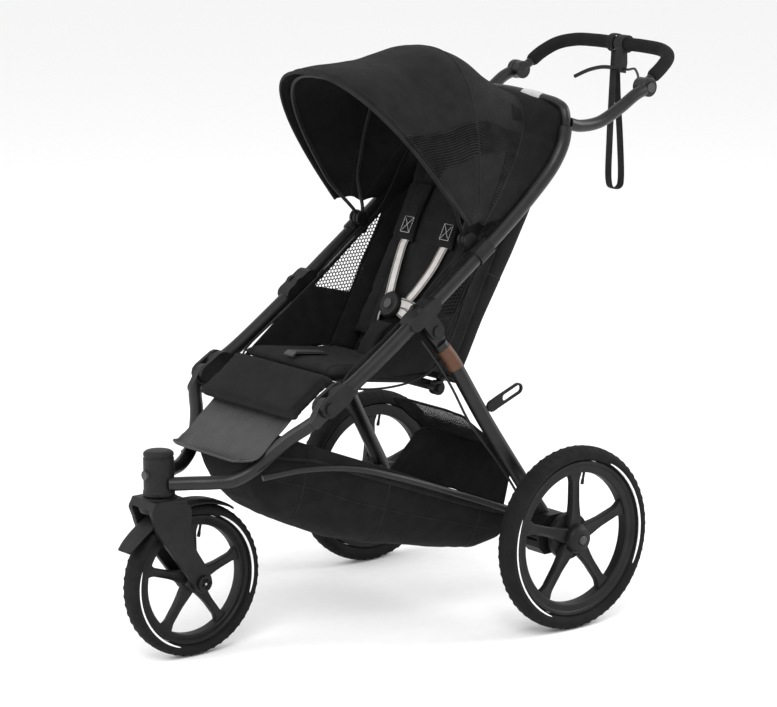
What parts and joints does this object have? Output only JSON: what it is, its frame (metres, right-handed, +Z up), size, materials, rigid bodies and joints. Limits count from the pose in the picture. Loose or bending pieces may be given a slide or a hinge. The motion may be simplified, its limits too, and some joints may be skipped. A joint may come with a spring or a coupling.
{
  "type": "stroller",
  "caption": "Three-wheeled all-terrain baby stroller with a flat-folding frame, reclining seat, folding canopy and basket.",
  "frame": {"origin": "middle of the whole stroller's footprint, on the ground", "axes": "+Z up, the child and the front wheel face -Y, +X is the stroller's left side"},
  "size_m": [0.696, 1.248, 1.1099],
  "materials": {
    "frame_paint": "satin black powder coat",
    "steel": "satin",
    "black_plastic": "fine grain",
    "grey_plastic": "fine grain",
    "tyre": "matt",
    "foam": "closed-cell foam",
    "fabric": "woven polyester",
    "webbing": "woven webbing",
    "cable": "smooth cable jacket"
  },
  "bodies": {
    "main_frame": {"main_frame": "frame_paint", "fold_housing_left": "black_plastic", "fold_housing_right": "black_plastic", "leg_bracket_left": "black_plastic", "leg_bracket_right": "black_plastic", "canopy_pivot_left": "black_plastic", "canopy_pivot_right": "black_plastic", "side_wing_left": "fabric", "side_wing_right": "fabric", "seat_base": "black_plastic", "seat_pad": "fabric", "calf_pad": "fabric", "crotch_strap": "fabric", "buckle": "black_plastic", "handle_arm_left": "frame_paint", "handle_arm_right": "frame_paint"},
    "front_frame": {"front_tube_left": "frame_paint", "front_tube_right": "frame_paint", "head_tube": "black_plastic", "footrest": "grey_plastic"},
    "swivel_lock_button": {"swivel_lock_button": "grey_plastic"},
    "caster_fork": {"caster_fork": "black_plastic", "front_axle": "steel"},
    "front_wheel": {"front_tyre": "tyre", "front_rim": "black_plastic"},
    "rear_chassis": {"rear_leg_left": "frame_paint", "rear_leg_right": "frame_paint", "axle_housing_left": "black_plastic", "axle_housing_right": "black_plastic", "rear_axle": "frame_paint", "brake_cable_lower": "cable", "storage_loop": "black_plastic"},
    "rear_wheel_left": {"rear_tyre_left": "tyre", "rear_rim_left": "black_plastic"},
    "rear_wheel_right": {"rear_tyre_right": "tyre", "rear_rim_right": "black_plastic"},
    "wheel_release_left": {"wheel_release_left": "grey_plastic"},
    "wheel_release_right": {"wheel_release_right": "grey_plastic"},
    "basket_frame": {"basket_frame": "frame_paint", "basket": "fabric"},
    "handlebar": {"handlebar": "frame_paint", "grip_foam": "foam", "brake_bracket": "black_plastic", "brake_cable_upper": "cable"},
    "handle_button_left": {"handle_button_left": "grey_plastic"},
    "handle_button_right": {"handle_button_right": "grey_plastic"},
    "brake_lever": {"brake_lever": "black_plastic"},
    "wrist_strap": {"wrist_strap": "fabric"},
    "canopy_mid_bow": {"canopy_mid_bow": "frame_paint", "canopy_rear_panel": "fabric"},
    "canopy_front_bow": {"canopy_front_bow": "frame_paint", "canopy_front_panel": "fabric"},
    "backrest": {"backrest_frame": "frame_paint", "backrest_pad": "fabric", "shoulder_strap_left": "webbing", "shoulder_strap_right": "webbing"},
    "fold_grip": {"fold_grip": "grey_plastic"},
    "buckle_button": {"buckle_button": "grey_plastic"}
  },
  "joints": [
    {"name": "frame_fold", "type": "hinge", "parent": "main_frame", "child": "front_frame", "pos_m": [0, -0.29898, 0.486], "axis": [1, 0, 0], "range_deg": [0, 70], "deforming": ["basket"]},
    {"name": "rear_leg_fold", "type": "hinge", "parent": "main_frame", "child": "rear_chassis", "pos_m": [0, -0.04498, 0.599], "axis": [1, 0, 0], "range_deg": [0, 40]},
    {"name": "basket_link", "type": "hinge", "parent": "rear_chassis", "child": "basket_frame", "pos_m": [0, 0.16202, 0.214], "axis": [1, 0, 0], "range_deg": [-17, 0]},
    {"name": "caster_swivel", "type": "hinge", "parent": "front_frame", "child": "caster_fork", "pos_m": [0, -0.53998, 0.36], "axis": [0, 0, 1], "continuous": true},
    {"name": "front_wheel_spin", "type": "hinge", "parent": "caster_fork", "child": "front_wheel", "pos_m": [0, -0.46898, 0.147], "axis": [1, 0, 0], "continuous": true},
    {"name": "rear_wheel_spin_left", "type": "hinge", "parent": "rear_chassis", "child": "rear_wheel_left", "pos_m": [0.316, 0.20602, 0.18], "axis": [1, 0, 0], "continuous": true},
    {"name": "rear_wheel_spin_right", "type": "hinge", "parent": "rear_chassis", "child": "rear_wheel_right", "pos_m": [-0.316, 0.20602, 0.18], "axis": [1, 0, 0], "continuous": true},
    {"name": "wheel_release_left_press", "type": "slide", "parent": "rear_wheel_left", "child": "wheel_release_left", "axis": [-1, 0, 0], "range_m": [0, 0.004], "stiffness_N_per_m": 400},
    {"name": "wheel_release_right_press", "type": "slide", "parent": "rear_wheel_right", "child": "wheel_release_right", "axis": [1, 0, 0], "range_m": [0, 0.004], "stiffness_N_per_m": 400},
    {"name": "swivel_lock_press", "type": "slide", "parent": "front_frame", "child": "swivel_lock_button", "axis": [0, 1, 0], "range_m": [0, 0.003], "stiffness_N_per_m": 400},
    {"name": "handlebar_adjust", "type": "hinge", "parent": "main_frame", "child": "handlebar", "pos_m": [0, 0.49602, 1.017], "axis": [1, 0, 0], "range_deg": [-45, 45], "deforming": ["wrist_strap"]},
    {"name": "handle_button_left_press", "type": "slide", "parent": "main_frame", "child": "handle_button_left", "axis": [-1, 0, 0], "range_m": [0, 0.003], "stiffness_N_per_m": 400},
    {"name": "handle_button_right_press", "type": "slide", "parent": "main_frame", "child": "handle_button_right", "axis": [1, 0, 0], "range_m": [0, 0.003], "stiffness_N_per_m": 400},
    {"name": "brake_lever_pull", "type": "hinge", "parent": "handlebar", "child": "brake_lever", "pos_m": [0.008, 0.59202, 1.034], "axis": [0, 1, 0], "range_deg": [0, 18], "stiffness_Nm_per_rad": 1.5, "springref_deg": -5.73},
    {"name": "wrist_strap_swing", "type": "hinge", "parent": "handlebar", "child": "wrist_strap", "pos_m": [-0.013, 0.60302, 1.079], "axis": [1, 0, 0], "range_deg": [-35, 35], "deforming": ["wrist_strap"]},
    {"name": "canopy_fold", "type": "hinge", "parent": "main_frame", "child": "canopy_mid_bow", "pos_m": [0, 0.06102, 0.757], "axis": [1, 0, 0], "range_deg": [-30, 0], "deforming": ["canopy_front_panel", "canopy_rear_panel"]},
    {"name": "canopy_front_fold", "type": "hinge", "parent": "canopy_mid_bow", "child": "canopy_front_bow", "pos_m": [0, 0.06102, 0.757], "axis": [1, 0, 0], "range_deg": [-36, 0], "deforming": ["canopy_front_panel"]},
    {"name": "backrest_recline", "type": "hinge", "parent": "main_frame", "child": "backrest", "pos_m": [0, 0.01602, 0.47], "axis": [1, 0, 0], "range_deg": [-25, 0], "deforming": ["shoulder_strap_left", "shoulder_strap_right"]},
    {"name": "fold_grip_pull", "type": "slide", "parent": "main_frame", "child": "fold_grip", "axis": [0, 0, 1], "range_m": [0, 0.02], "stiffness_N_per_m": 300, "springref_m": -0.002},
    {"name": "buckle_press", "type": "slide", "parent": "main_frame", "child": "buckle_button", "axis": [0, 0.8942, -0.4478], "range_m": [0, 0.002], "stiffness_N_per_m": 400}
  ],
  "couplings": [
    {"joint": "rear_leg_fold", "follows": "frame_fold", "ratio": 0.57},
    {"joint": "basket_link", "follows": "frame_fold", "ratio": -0.24},
    {"joint": "canopy_front_fold", "follows": "canopy_fold", "ratio": 1.2}
  ]
}
